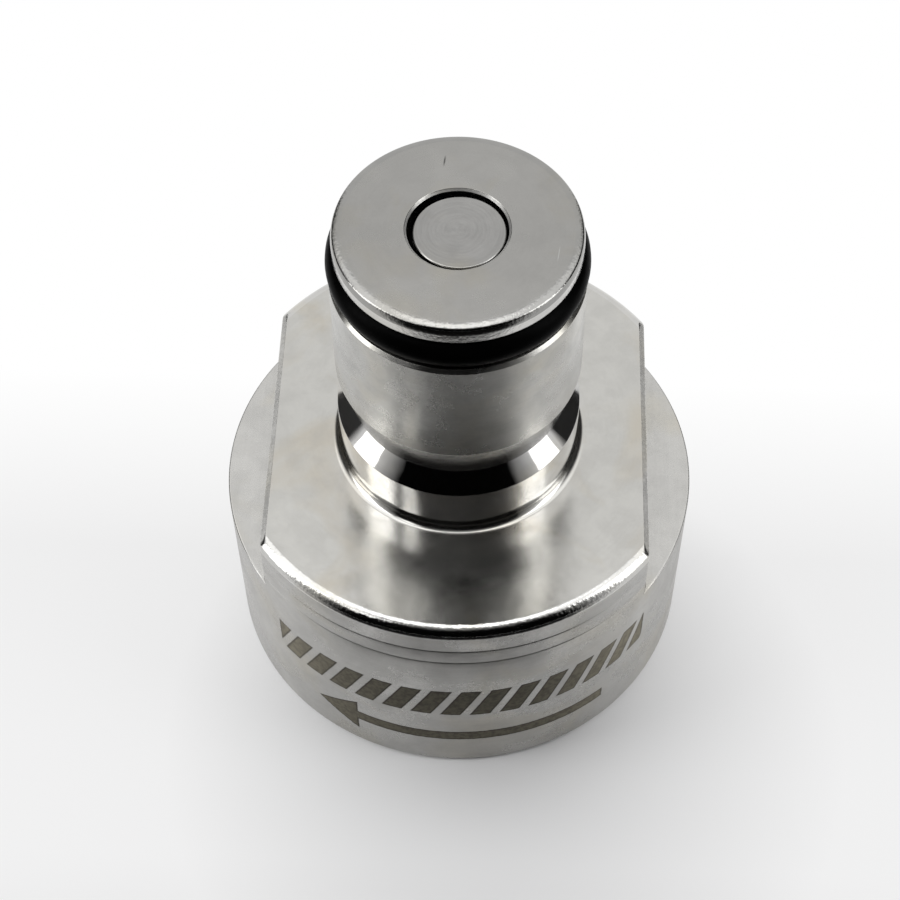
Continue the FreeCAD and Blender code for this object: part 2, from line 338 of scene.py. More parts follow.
def scratched(material, start, end, width, tone):
    """Draws one fine straight scratch on a flat top; its ends (x, y) and its width are in millimetres."""
    tree = material.node_tree
    shader = tree.nodes["Principled BSDF"]
    place = tree.nodes["Texture Coordinate"].outputs["Object"]
    first, last = Vector((*start, 0)) * mm, Vector((*end, 0)) * mm
    run = (last - first).normalized()
    off = add(tree, "ShaderNodeVectorMath", {0: place, 1: first}, operation="SUBTRACT").outputs[0]
    along = add(tree, "ShaderNodeVectorMath", {0: off, 1: run}, operation="DOT_PRODUCT").outputs["Value"]
    sideways = add(tree, "ShaderNodeVectorMath", {0: off, 1: (-run.y, run.x, 0)}, operation="DOT_PRODUCT")
    beside = calc(tree, "ABSOLUTE", sideways.outputs["Value"])
    mask = calc(tree, "MULTIPLY", within(tree, along, 0, (last - first).length, 0.2 * mm),
                spread(tree, beside, width * mm / 3, width * mm, 1, 0))
    plain = shader.inputs["Base Color"].links[0].from_socket
    tree.links.new(blend(tree, mask, plain, tone), shader.inputs["Base Color"])


# The laser's marks: a band of slanted bars above a long arrow that points the way the cap is closed.
band_sides = (-14.2, 15.9)
band_heights = (7.4, 10.9)
bar_pitch = 2.15
bar_start = 0.1
bar_width = 1.5
bar_slant = 0.45
bar_unevenness = 0.06
arrow_tip = -10.6
arrow_head = 3.4
arrow_head_slope = 1.7
arrow_end = 11.9
arrow_height = 4.1
arrow_half = 0.6
mark_softness = 0.04
burnt_colour = (0.2, 0.184, 0.142)
burnt_rim = (0.085, 0.077, 0.062)
rim_width = 0.13


def laser_marks(tree, side, height, inset):
    """One inside the bars and the arrow, both drawn in by the inset; side and height are in millimetres."""
    def between(value, low, high):
        return within(tree, value, low + inset, high - inset, mark_softness)

    slanted = calc(tree, "SUBTRACT", side, calc(tree, "MULTIPLY", height, bar_slant))
    step = calc(tree, "MULTIPLY", calc(tree, "FRACT", calc(tree, "DIVIDE", slanted, bar_pitch)), bar_pitch)
    bars = calc(tree, "MULTIPLY", between(step, bar_start, bar_start + bar_width),
                between(side, *band_sides))
    bars = calc(tree, "MULTIPLY", bars, between(height, *band_heights))
    head_end = arrow_tip + arrow_head
    shaft = calc(tree, "MULTIPLY", between(side, head_end - inset * 3, arrow_end),
                 between(height, arrow_height - arrow_half, arrow_height + arrow_half))
    off_line = calc(tree, "ABSOLUTE", calc(tree, "SUBTRACT", height, arrow_height))
    slope = calc(tree, "SUBTRACT", side, calc(tree, "MULTIPLY", off_line, arrow_head_slope))
    point = arrow_tip + inset * 2
    head = calc(tree, "MULTIPLY", spread(tree, slope, point - mark_softness, point + mark_softness, 0, 1),
                spread(tree, side, head_end - inset, head_end - inset + 2 * mark_softness, 1, 0))
    return calc(tree, "MAXIMUM", bars, calc(tree, "MAXIMUM", shaft, head))


def etched(material):
    """Burns a band of slanted bars and a closing arrow into the front of a finish with a marking laser.

    The place on the skirt is (angle from the front) * radius sideways and the height upwards, both in
    millimetres and a little uneven, as the burnt edge is. The rim of each mark is burnt darker.
    """
    tree = material.node_tree
    shader = tree.nodes["Principled BSDF"]
    place = tree.nodes["Texture Coordinate"].outputs["Object"]
    uneven = spread(tree, grain(tree, place, 0.3, 3.0), 0, 1, -bar_unevenness, bar_unevenness)
    parts = add(tree, "ShaderNodeSeparateXYZ", {0: place}).outputs
    angle = calc(tree, "ARCTAN2", parts[0], calc(tree, "MULTIPLY", parts[1], -1))
    side = calc(tree, "ADD", calc(tree, "MULTIPLY", angle, skirt_radius), uneven)
    height = calc(tree, "ADD", calc(tree, "DIVIDE", parts[2], mm), uneven)
    burnt = laser_marks(tree, side, height, 0)
    inner = laser_marks(tree, side, height, rim_width)
    mottling = spread(tree, grain(tree, place, 0.35, 4.0), 0.4, 0.65, 0, 0.6)
    mottled = blend(tree, mottling, burnt_colour, burnt_rim)
    plain = shader.inputs["Base Color"].links[0].from_socket
    marked = blend(tree, burnt, plain, blend(tree, inner, burnt_rim, mottled))
    tree.links.new(marked, shader.inputs["Base Color"])
    plain_roughness = shader.inputs["Roughness"].links[0].from_socket
    tree.links.new(calc(tree, "MAXIMUM", plain_roughness, calc(tree, "MULTIPLY", burnt, 0.5)),
                   shader.inputs["Roughness"])
    return material


body_finishes = [
    etched(steel("skirt_steel", (0.493, 0.486, 0.468), 0.3, speckle=0.025, waves=0.012, stretch=0.88)),
    steel("platform_steel", (0.585, 0.577, 0.55), 0.165, marks=0.08, speckle=0.015, cloud=0.04, waves=0.02,
          blotches=0.06, stain=(0.95, 0.91, 0.84)),
    steel("post_steel", (0.505, 0.5, 0.48), 0.27, marks=0.2, speckle=0.02, waves=0.02, blotches=0.1,
          stretch=0.85),
    steel("polished_steel", (0.55, 0.545, 0.535), 0.06, marks=0.1, cloud=0.02, speckle=0.01, bump=0.0002,
          ragged=0.0001, waves=0.02),
    # A darker copy of the same steel for the post's top face: painted shade that stands in for its dim
    # reflection from above and behind.
    steel("shaded_top_steel", (0.367, 0.362, 0.347), 0.24, marks=0.1, speckle=0.02, blotches=0.035),
    steel("bore_steel", (0.50, 0.495, 0.48), 0.5, marks=0.4),
    steel("milled_steel", (0.562, 0.555, 0.535), 0.24, marks=0.12, path=milling_marks),
    # A lighter copy of the steel for the platform's top edge band and the flange's wall: the lighter colour
    # is a painted highlight; the low roughness and raggedness are the edges' own finish.
    steel("brightened_edge_steel", (0.63, 0.624, 0.605), 0.1, marks=0.1, cloud=0.02, speckle=0.02, bump=0.003,
          ragged=0.017),
    # A darker copy of the same steel for the taper and the flange's round edge: painted shade that darkens
    # their reflections.
    steel("shaded_taper_edge_steel", (0.36, 0.357, 0.345), 0.12, marks=0.1, cloud=0.02, speckle=0.02, bump=0.003,
          ragged=0.02),
]
slots = {material.name: number for number, material in enumerate(body_finishes)}
shaded_top_steel = body_finishes[slots["shaded_top_steel"]]
scratched(shaded_top_steel, (-1.0, 6.0), (-1.06, 5.35), 0.07, (0.1, 0.098, 0.095))
scratched(shaded_top_steel, (6.43, -1.4), (6.3, -2.4), 0.05, (0.44, 0.437, 0.425))

# The platform's top edge is an arc that meets the wall at a crisp line, still leaning by edge_lean.
edge_inset = platform_round * math.cos(math.radians(edge_lean))
edge_line = platform_top - platform_round * (1 - math.sin(math.radians(edge_lean)))

# The four vertical corners between flats and skirt stand at this angle from the flats' middles.
corner_angle = math.degrees(math.acos(flat_distance / skirt_radius))
near_corner = np.array([0.15, 0.3, 0.55, 0.9, 1.4])
quarter = np.concatenate([
    np.linspace(0, corner_angle - 2, 26),
    corner_angle - near_corner[::-1],
    [corner_angle],
    corner_angle + near_corner,
    np.linspace(corner_angle + 2, 90, 38),
])


def four_quarters(quarter_degrees):
    """Angles once round, mirrored from the first quarter, in radians."""
    first = quarter_degrees[..., :-1]
    second = 180 - quarter_degrees[..., :0:-1]
    half = np.concatenate([first, second], axis=-1)
    return np.radians(np.concatenate([half, half + 180], axis=-1))


def milled_ring(arc_inset, flat_inset):
    """Angle and radius round the platform where its arc and its flats are set in by the given amounts.

    The radius is the smaller of the arc's and the flat's, (flat distance) / cos(angle), rounded off where
    the two lie closer than the corner's softness. The columns follow the corner, at acos(flat / arc).
    """
    arc = skirt_radius - arc_inset
    flat = flat_distance - flat_inset
    corner = math.degrees(math.acos(flat / (skirt_radius - min(arc_inset, edge_inset))))
    angle = four_quarters(np.interp(quarter, [0, corner_angle, 90], [0, corner, 90]))
    to_flat = flat / np.maximum(np.abs(np.cos(angle)), 1e-3)
    near = np.clip(1 - np.abs(arc - to_flat) / corner_softness, 0, 1)
    return angle, np.minimum(arc, to_flat) - corner_softness * near ** 2 / 4


def ring_points(angle, radius, height):
    """One row of points from angles, radii and heights."""
    return np.stack([radius * np.cos(angle), radius * np.sin(angle), height + 0 * angle], axis=-1)


def ledge_rows():
    """Rows over the ledge: its broken outer edge, its flat, and the cutter's round at the foot of the flat.

    Where the ledge is narrower than its full width, both rounds shrink with it, so that all three close up
    where it runs out.
    """
    angle, inner = milled_ring(0, 0)
    width = np.maximum(skirt_radius - inner, 0)
    size = np.clip(width / ledge_full_width, 0, 1)
    edge, foot = ledge_edge_round * size, ledge_foot_round * size
    rows = []
    for turn in np.radians([0, 22.5, 45, 67.5, 90]):
        radius = skirt_radius - edge * (1 - math.cos(turn))
        rows.append(ring_points(angle, radius, skirt_height - edge * (1 - math.sin(turn))))
    for share in (0.03, 0.97):
        radius = (skirt_radius - edge) * (1 - share) + (inner + foot) * share
        rows.append(ring_points(angle, radius, skirt_height))
    for turn in np.radians([0, 30, 60, 90]):
        radius = inner + foot * (1 - math.sin(turn))
        rows.append(ring_points(angle, radius, skirt_height + foot * (1 - math.cos(turn))))
    return rows


def platform_rows():
    """Rows up the flats and arcs of the platform, with two fine tool lines on the arcs, to its top edge."""
    beside_line = np.array([-2, -1, -0.5, 0, 0.5, 1, 2]) * tool_line_width
    lines = [height + beside_line for height in tool_line_heights]
    turn = np.radians(np.linspace(edge_lean, 90, 13))
    chamfer_start = platform_top - flat_chamfer
    levels = [[skirt_height + 0.3], *lines, edge_line + np.array([-0.25, -0.05, -0.01])]
    levels.append(platform_top - platform_round * (1 - np.sin(turn)))
    levels.append(chamfer_start + np.array([-0.04, -0.01, 0.02, 0.05]))
    rows = []
    for level in np.unique(np.round(np.concatenate(levels), 4)):
        rise = np.clip(1 - (platform_top - level) / platform_round, 0, 1)
        inset = max(edge_inset - platform_round * math.sqrt(1 - rise ** 2), 0)
        cut = sum(math.exp(-((level - line) / tool_line_width) ** 2) for line in tool_line_heights)
        angle, radius = milled_ring(inset + tool_line_depth * cut, max(level - chamfer_start, 0))
        rows.append(ring_points(angle, radius, level))
    return rows


def cap_body_grid():
    """The whole body as one closed grid, and the finish of each of its faces."""
    angles = four_quarters(quarter)
    mouth = rounded([
        (thread_root + mouth_chamfer, 0, 0.06), (skirt_radius - rim_chamfer, 0, 0.08),
        (skirt_radius, rim_chamfer, 0.1), (skirt_radius, skirt_height - 0.25), (skirt_radius, skirt_height),
    ])[:-1]
    flange_edge = bent_edge(flange_radius, post_top, flange_edge_bends)
    post = rounded([
        (12, platform_top),
        (collar_radius, platform_top, foot_round),
        (collar_radius, collar_top, 0.07),
        (neck_radius, neck_bottom, 0.05), (neck_radius, taper_bottom, 0.04),
        (lip_radius, taper_bottom, 0.05), (land_radius, taper_top, 0.06),
        (land_radius, land_top - land_chamfer, 0.04), (land_radius - land_chamfer, land_top, 0.03),
        (ring_groove_radius, land_top, 0.1), (ring_groove_radius, flange_bottom, 0.1),
        (flange_radius, flange_bottom, 0.08), *flange_edge,
        (pin_hole_radius + pin_hole_chamfer, post_top, 0.03),
        (pin_hole_radius, post_top - pin_hole_chamfer, 0.03),
        (pin_hole_radius, chamber_top, 0.05), (chamber_radius, chamber_top, 0.1),
        (chamber_radius, seal_pocket_top, 0.1), (seal_pocket_radius, seal_pocket_top, 0.1),
        (seal_pocket_radius, housing_pocket_top, 0.1), (housing_pocket_radius, housing_pocket_top, 0.1),
        (housing_pocket_radius, ceiling + pocket_chamfer, 0.05),
        (housing_pocket_radius + pocket_chamfer, ceiling, 0.05),
        (relief_radius, ceiling, 0.15), (relief_radius, relief_bottom, 0.15),
        (thread_root, relief_bottom, 0.08), (thread_root, mouth_chamfer, 0.08),
        (thread_root + mouth_chamfer, 0),
    ], arc_steps=6)[1:-1]
    top_angle, top_radius = milled_ring(edge_inset, flat_chamfer)
    edge = ring_points(top_angle, top_radius, platform_top)
    foot = ring_points(angles, post[0, 0], platform_top)
    top = [edge * (1 - share) + foot * share for share in (0.004, 0.35, 0.7)]
    wall = [*turned_grid(mouth, angles), *ledge_rows()]
    sides = platform_rows()
    grid = np.stack([*wall, *sides, *top, *turned_grid(post, angles)])

    # The finish of each row of faces follows from its height and its distance from the axis.
    first_top = len(wall) + len(sides)
    row = np.arange(len(grid))
    height = grid[:, 0, 2]
    radius = np.hypot(grid[:, 0, 0], grid[:, 0, 1])
    on_sides = (row >= len(wall)) & (row < first_top - 1)
    outside = row >= first_top + len(top)
    above_foot = outside & (height > platform_top + 0.3)
    by_taper = outside & (height > taper_bottom - 0.06) & (height < taper_top - 0.05) & (radius > 7)
    round_edge = outside & (height > flange_edge[0][1] - 0.001) & (radius > flange_edge[-3][0])
    finish = np.full(len(grid), slots["skirt_steel"])
    # The platform's top edge band gets the lighter copy: painted highlight.
    finish[on_sides & (height > edge_line - 0.001)] = slots["brightened_edge_steel"]
    finish[first_top - 1:] = slots["platform_steel"]
    finish[above_foot] = slots["post_steel"]
    finish[above_foot & (height < taper_bottom - 0.06) & (radius > 7)] = slots["polished_steel"]
    # The taper gets the darker copy: painted shade.
    finish[by_taper] = slots["shaded_taper_edge_steel"]
    # The post's top face gets the darker copy: painted shade.
    finish[outside & (height > post_top - 0.2) & (radius > pin_hole_radius + 0.05)] = slots["shaded_top_steel"]
    # The flange's wall gets the lighter copy: painted highlight.
    finish[outside & (height > flange_bottom + 0.1) & (radius > flange_radius - 0.01)] = slots["brightened_edge_steel"]
    # The flange's round edge gets the darker copy: painted shade.
    finish[round_edge] = slots["shaded_taper_edge_steel"]
    in_bore = np.argmax(outside & (radius < pin_hole_radius + pin_hole_chamfer - 0.01))
    finish[in_bore:] = slots["bore_steel"]
    hole_wall = outside & (height > ceiling) & (height < post_top - 0.1) & (radius < pin_hole_radius + 0.01)
    finish[hole_wall] = slots["polished_steel"]
    finish[-1] = slots["skirt_steel"]

    # The flats and the ledges get the milled finish in the columns between their corners.
    finish = np.repeat(finish[:, None], grid.shape[1], axis=1)
    on_flat = np.abs(np.cos(angles)) > math.cos(math.radians(corner_angle)) - 1e-6
    on_flat = on_flat & np.roll(on_flat, -1)
    milled = np.arange(len(mouth), first_top - 1)
    finish[np.ix_(milled, np.flatnonzero(on_flat))] = slots["milled_steel"]
    return grid, finish


body_grid, body_rows = cap_body_grid()
cap_body = surface("cap_body_turned", body_grid, body_finishes, body_rows)
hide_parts("cap_body")
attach(cap_body, "cap")

# Post O-ring: black nitrile rubber, stretched over the flange into its groove.
ring_centre_radius = 7.39
ring_section = 1.15
ring_height = 38.26


def rubber(name, colour, roughness, shine=0.4):
    """Moulded rubber: nearly black or pale, a soft sheen, with a fine uneven skin."""
    material, tree, shader, place = new_finish(name)
    skin = grain(tree, place, 0.25, 4.0)
    patches = grain(tree, place, 2.5, 2.0)
    lighter = tuple(part * 1.2 for part in colour)
    shader.inputs["Specular IOR Level"].default_value = shine
    tone = blend(tree, spread(tree, patches, 0.4, 0.7, 0, 1), colour, lighter)
    tree.links.new(tone, shader.inputs["Base Color"])
    rough = spread(tree, skin, 0.3, 0.7, roughness - 0.06, roughness + 0.06)
    tree.links.new(rough, shader.inputs["Roughness"])
    relief = add(tree, "ShaderNodeBump", {"Height": skin, "Strength": 0.15, "Distance": 0.01 * mm})
    tree.links.new(relief.outputs[0], shader.inputs["Normal"])
    return material


def ring_grid(centre_radius, section, height, columns=160, steps=28):
    """A round section turned about the axis: (R + s cos b, z + s sin b) for each angle b of the section."""
    turn = around(steps)
    outline = np.stack([centre_radius + section * np.cos(turn), height + section * np.sin(turn)], axis=-1)
    return turned_grid(outline, around(columns))


black_rubber = rubber("black_rubber", (0.0008, 0.0008, 0.0008), 0.35, 0.02)
o_ring_grid = ring_grid(ring_centre_radius, ring_section, ring_height)
post_o_ring = surface("post_o_ring_rubber", o_ring_grid, [black_rubber])
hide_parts("post_o_ring")
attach(post_o_ring, "cap")

# Valve poppet: a turned steel pin whose round end stands in the hole of the post's top face. It is loose in
# its hole, so it leans to one side.
pin_middle = (0.12, -0.16, 0)
pin_radius = 2.98
pin_top = 40.85
head_radius = 4.33
head_top = 37.95
head_bottom = 36.9
tail_radius = 2.4
tail_end = 35.2
pin_steel = steel("pin_steel", (0.37, 0.366, 0.355), 0.2, marks=0.5, speckle=0.02, bump=0.002)
pin_outline = rounded([
    (0, tail_end), (tail_radius, tail_end, 0.48), (tail_radius, head_bottom, 0.05),
    (head_radius, head_bottom, 0.06), (head_radius, head_top, 0.06), (pin_radius, head_top, 0.05),
    (pin_radius, pin_top, 0.12), (0, pin_top),
])
pin_grid = turned_grid(pin_outline, around(128)) + pin_middle
poppet_pin = surface("poppet_pin_turned", pin_grid, [pin_steel], loop=False)
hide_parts("poppet_pin")
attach(poppet_pin, "poppet")

# Poppet seal: a rubber washer on the poppet's head that closes against the inside of the post's top wall.
valve_seal_top = 39.15
seal_outline = rounded([
    (pin_radius, head_top, 0.05), (head_radius, head_top, 0.05),
    (head_radius, valve_seal_top, 0.3), (pin_radius, valve_seal_top, 0.05),
])
seal_grid = turned_grid(seal_outline, around(96)) + pin_middle
poppet_seal = surface("poppet_seal_rubber", seal_grid, [black_rubber])
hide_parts("poppet_seal")
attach(poppet_seal, "poppet")

# Poppet spring: stainless wire wound to a coil with closed, ground ends. It stands on the bush and pushes
# the poppet shut.
spring_low, spring_high = 31.3, 36.88
spring_radius = 3.3
wire_radius = 0.3
closed_turn_climb = 1.6 * wire_radius


def coil_grid(turns=6.0, steps=420, sides=14):
    """A wire of radius w along (R cos a, R sin a, h(a)); h climbs slowly in the closed turn at each end.

    The section's points are R + w cos b outwards and h + w sin b upwards, and the ends are ground flat by
    holding the height between the spring's two ends.
    """
    angle = np.linspace(0, 2 * np.pi * turns, steps)
    stops = 2 * np.pi * np.array([0, 1, turns - 1, turns])
    bottom, top = spring_low + wire_radius * 0.6, spring_high - wire_radius * 0.6
    heights = [bottom, bottom + closed_turn_climb, top - closed_turn_climb, top]
    climb = np.interp(angle, stops, heights)[:, None]
    side = around(sides)[None]
    size = np.ones((steps, 1)) * wire_radius
    size[[0, -1]] = 0
    out = spring_radius + size * np.cos(side)
    level = np.clip(climb + size * np.sin(side), spring_low, spring_high)
    return np.stack([out * np.cos(angle[:, None]), out * np.sin(angle[:, None]), level], axis=-1)


spring_steel = steel("spring_steel", (0.55, 0.545, 0.53), 0.2, marks=0.1)
spring = surface("poppet_spring_wire", coil_grid(), [spring_steel], loop=False)
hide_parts("poppet_spring")
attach(spring, "cap")
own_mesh(spring)

# Bush, spacer and housing of the dip tube connection: three rings pressed in from below, with a seal between
# each pair. The bush and the housing are turned steel, the spacer is acetal.
pressed_radius = 5.83
tube_socket_radius = 4.1
tube_stop = 28.28
gas_hole_radius = 1.7
bush_bottom = 24.88
bush_nose_radius = 4.88
spring_seat = 31.28
spigot_radius = 2.7
spigot_top = 32.18
tube_way_radius = 4.2
spacer_bottom = 22.04
spacer_top = 22.94
housing_bottom = 13.2
housing_radius = 6.78
housing_end_wall = 19.3
housing_recess_radius = 5.45
button_recess = 13.55
cone_radii = (5.1, 5.9)
cone_heights = (14.8, 17.2)
turned_steel = steel("turned_steel", (0.56, 0.555, 0.54), 0.28, marks=0.35)


def acetal(name, colour):
    """Moulded acetal: even, slightly waxy, with a fine mould texture and a soft variation of tone."""
    material, tree, shader, place = new_finish(name)
    skin = grain(tree, place, 0.18, 4.0)
    tone = grain(tree, place, 2.2, 2.0)
    darker = tuple(part * 0.82 for part in colour)
    varied = blend(tree, spread(tree, tone, 0.35, 0.65, 0, 1), colour, darker)
    tree.links.new(varied, shader.inputs["Base Color"])
    tree.links.new(spread(tree, skin, 0.3, 0.7, 0.34, 0.46), shader.inputs["Roughness"])
    relief = add(tree, "ShaderNodeBump", {"Height": skin, "Strength": 0.2, "Distance": 0.01 * mm})
    tree.links.new(relief.outputs[0], shader.inputs["Normal"])
    return material


grey_acetal = acetal("grey_acetal", (0.23, 0.235, 0.24))
bush_outline = rounded([
    (tube_socket_radius, bush_bottom, 0.12), (pressed_radius, bush_bottom, 0.06),
    (pressed_radius, seal_pocket_top, 0.06), (bush_nose_radius, seal_pocket_top, 0.05),
    (bush_nose_radius, spring_seat, 0.12), (spigot_radius, spring_seat, 0.06),
    (spigot_radius, spigot_top, 0.22), (gas_hole_radius, spigot_top, 0.08),
    (gas_hole_radius, tube_stop, 0.08), (tube_socket_radius, tube_stop, 0.1),
])
housing_outline = rounded([
    (housing_recess_radius, housing_bottom, 0.05), (housing_radius, housing_bottom, 0.12),
    (housing_radius, housing_pocket_top, 0.1), (tube_way_radius, housing_pocket_top, 0.08),
    (tube_way_radius, housing_end_wall, 0.08), (cone_radii[1], housing_end_wall, 0.08),
    (cone_radii[1], cone_heights[1], 0.08), (cone_radii[0], cone_heights[0], 0.08),
    (cone_radii[0], button_recess, 0.05),
])
spacer_outline = rounded([
    (tube_way_radius, spacer_bottom, 0.18), (pressed_radius, spacer_bottom, 0.05),
    (pressed_radius, spacer_top, 0.05), (tube_way_radius, spacer_top, 0.18),
])
inner_rings = [
    ("spring_bush", bush_outline, turned_steel, "turned_steel"),
    ("collet_housing", housing_outline, turned_steel, "turned_steel"),
    ("o_ring_spacer", spacer_outline, grey_acetal, "grey_acetal"),
]
for node_name, outline, material, slot in inner_rings:
    ring = surface(node_name + "_turned", turned_grid(outline, around(128)), [material])
    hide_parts(node_name)
    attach(ring, "cap")

# Tube O-rings: two soft seals round the dip tube, above and below the spacer.
tube_ring_radius = 4.87
tube_ring_section = 0.95
for node_name, height in (("upper_tube_o_ring", 23.91), ("lower_tube_o_ring", 21.07)):
    seal_grid = ring_grid(tube_ring_radius, tube_ring_section, height, 128, 24)
    seal = surface(node_name + "_rubber", seal_grid, [black_rubber])
    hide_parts(node_name)
    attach(seal, "cap")

# Collet: moulded acetal tube with six sprung fingers and a release flange, and a stamped steel tooth in each
# finger. Both keep the shape they have in the frame.
for node_name, material in (("collet", grey_acetal), ("collet_teeth", spring_steel)):
    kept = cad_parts[node_name]
    kept.data.materials.clear()
    kept.data.materials.append(material)

# Bottle seal: a flat washer of white silicone pushed up into the relief above the thread.
washer_hole_radius = 7.6
washer_radius = 14.15
white_silicone = rubber("white_silicone", (0.72, 0.71, 0.67), 0.42)
washer_outline = rounded([
    (washer_hole_radius, relief_bottom, 0.25), (washer_radius, relief_bottom, 0.25),
    (washer_radius, ceiling, 0.06), (washer_hole_radius, ceiling, 0.06),
])
bottle_seal = surface("bottle_seal_silicone", turned_grid(washer_outline, around(192)), [white_silicone])
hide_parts("bottle_seal")
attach(bottle_seal, "cap")

# Bottle thread: a right-handed ridge cut inside the skirt for a 28 mm bottle neck, run out at both ends.
thread_pitch = 2.7
thread_start = 1.9
thread_turns = 2.6
thread_depth = 1.0
thread_half_width = 0.95


def thread_grid(steps=420, run_out=0.12):
    """The ridge's section carried along a helix: height = start + pitch * turn, crest towards the axis.

    The section is a trapezoid with a flat crest; its depth grows from nothing over the run-out at each end.
    """
    turn = np.linspace(0, thread_turns, steps)[:, None]
    grown = np.clip(np.minimum(turn, thread_turns - turn) / run_out, 0, 1)
    grown = grown * grown * (3 - 2 * grown)
    across = np.array([-1.0, -0.62, -0.5, -0.38, 0, 0.38, 0.5, 0.62, 1.0, 1.0, -1.0])
    depth = np.array([0, 0.75, 0.93, 1, 1, 1, 0.93, 0.75, 0, -0.06, -0.06])
    radius = thread_root - thread_depth * depth * np.where(depth > 0, grown, 1)
    level = thread_start + thread_pitch * turn + thread_half_width * across * (0.15 + 0.85 * grown)
    angle = 2 * np.pi * turn
    ridge = np.stack([radius * np.cos(angle), radius * np.sin(angle), level + 0 * radius], axis=-1)
    ridge[[0, -1]] = ridge[[0, -1]].mean(axis=1, keepdims=True)
    return ridge


bore_steel = body_finishes[slots["bore_steel"]]
thread = surface("bottle_thread", thread_grid(), [bore_steel], loop=False)
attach(thread, "cap")

# Floor, lamps and cloths: a pale table in a plain white studio with soft boxes at both sides and overhead,
# and dark cloths that the polished steel shows as its dark parts. Away from the object the table is whitened
# by a painted glow, and a dark sheet on it in front is painted shade that only the steel shows. The camera
# doesn't see the cloths.
floor_half = 1500.0
floor_drop = 0.02
# Where the table's painted glow is least, the middle of the object's shadow, and the distances over which
# the painted glow grows away from it and behind the object.
shade_middle = (3.8, -14.6)
shade_reach = (3.3, 25.6)
back_reach = (1.2, 19.8)
studio_middle = 25.0
cloth_distance = 330.0
# The dark sheet of painted shade on the table in front: its near and far radii, the distances over which it
# fades in, and the angles in radians over which its sides fade out.
shade_sheet_near = 24.0
shade_sheet_far = 340.0
shade_sheet_fade = (25.2, 43.2)
shade_sheet_sides = (0.7, 1.1)


def plain_cloth(name, colour):
    """A matt material for the studio's sheets."""
    material, _, shader, _ = new_finish(name)
    shader.inputs["Base Color"].default_value = (*colour, 1)
    shader.inputs["Roughness"].default_value = 0.9
    shader.inputs["Specular IOR Level"].default_value = 0.0
    return material


def stage_sheet(name, grid, material):
    """An open sheet of the studio from a grid of points in millimetres."""
    rows, columns = grid.shape[:2]
    index = np.arange(rows * columns).reshape(rows, columns)
    quads = np.stack([index[:-1, :-1], index[:-1, 1:], index[1:, 1:], index[1:, :-1]], axis=-1)
    quads = quads.reshape(-1, 4)
    mesh = bpy.data.meshes.new(name)
    mesh.from_pydata((grid.reshape(-1, 3) * mm).tolist(), [], quads.tolist())
    mesh.materials.append(material)
    made = bpy.data.objects.new(name, mesh)
    bpy.context.scene.collection.objects.link(made)
    return made


side = np.array([-floor_half, floor_half])
floor_x, floor_y = np.meshgrid(side, side)
floor_grid = np.stack([floor_x, floor_y, np.full((2, 2), -floor_drop)], axis=-1)


def painted_glow_table(name, colour):
    """The white table with a painted glow: away from the object and towards the back an emission makes it
    look white, also in the steel.

    The painted glow grows with the distance from the middle of the object's shadow and with the distance
    behind the object, so that near the object the table keeps its lamp-lit shadow.
    """
    material = plain_cloth(name, colour)
    tree = material.node_tree
    place = tree.nodes["Texture Coordinate"].outputs["Object"]
    to_middle = (-shade_middle[0] * mm, -shade_middle[1] * mm, 0)
    off = add(tree, "ShaderNodeVectorMath", {0: place, 1: to_middle}, operation="ADD").outputs[0]
    away = add(tree, "ShaderNodeVectorMath", {0: off}, operation="LENGTH").outputs["Value"]
    back = add(tree, "ShaderNodeSeparateXYZ", {0: place}).outputs[1]
    # The share of painted glow: none in the middle of the object's shadow, more away from it and towards the
    # back.
    white = calc(tree, "ADD", spread(tree, away, shade_reach[0] * mm, shade_reach[1] * mm, 0, 0.63),
                 spread(tree, back, back_reach[0] * mm, back_reach[1] * mm, 0, 0.4))
    rays = add(tree, "ShaderNodeLightPath").outputs
    mirrored = calc(tree, "MAXIMUM", rays["Is Glossy Ray"], rays["Is Transmission Ray"])
    seen = calc(tree, "MAXIMUM", rays["Is Camera Ray"], mirrored)
    share = calc(tree, "MULTIPLY", calc(tree, "MINIMUM", white, 1.0), seen)
    glow = add(tree, "ShaderNodeEmission", {"Color": (1, 1, 1, 1), "Strength": 1.0}).outputs[0]
    matt = tree.nodes["Principled BSDF"].outputs[0]
    mixed = add(tree, "ShaderNodeMixShader", {0: share, 1: matt, 2: glow})
    tree.links.new(mixed.outputs[0], tree.nodes["Material Output"].inputs["Surface"])
    return material


stage_sheet("floor", floor_grid, painted_glow_table("table_white", (0.71, 0.71, 0.715)))


def front_shade_sheet(name, half_angle):
    """Painted shade on the table in front: a dark sheet, part of a ring, seen only in reflections and
    casting no shadow, that fades in from its near edge and its sides.
    """
    turns = np.radians(np.linspace(-half_angle, half_angle, 33))
    turn, radius = np.meshgrid(turns, np.linspace(shade_sheet_near, shade_sheet_far, 9))
    level = 0 * radius - floor_drop / 2
    grid = np.stack([radius * np.sin(turn), -radius * np.cos(turn), level], axis=-1)
    material = plain_cloth(name, (0.01, 0.01, 0.01))
    tree = material.node_tree
    place = tree.nodes["Texture Coordinate"].outputs["Object"]
    parts = add(tree, "ShaderNodeSeparateXYZ", {0: place}).outputs
    ahead = calc(tree, "MULTIPLY", parts[1], -1)
    across = calc(tree, "ABSOLUTE", calc(tree, "ARCTAN2", parts[0], ahead))
    near_cover = spread(tree, ahead, shade_sheet_fade[0] * mm, shade_sheet_fade[1] * mm, 0, 1)
    cover = calc(tree, "MULTIPLY", near_cover, spread(tree, across, *shade_sheet_sides, 1, 0))
    tree.links.new(cover, tree.nodes["Principled BSDF"].inputs["Alpha"])
    cloth = stage_sheet(name, grid, material)
    cloth.visible_camera = False
    cloth.visible_shadow = False


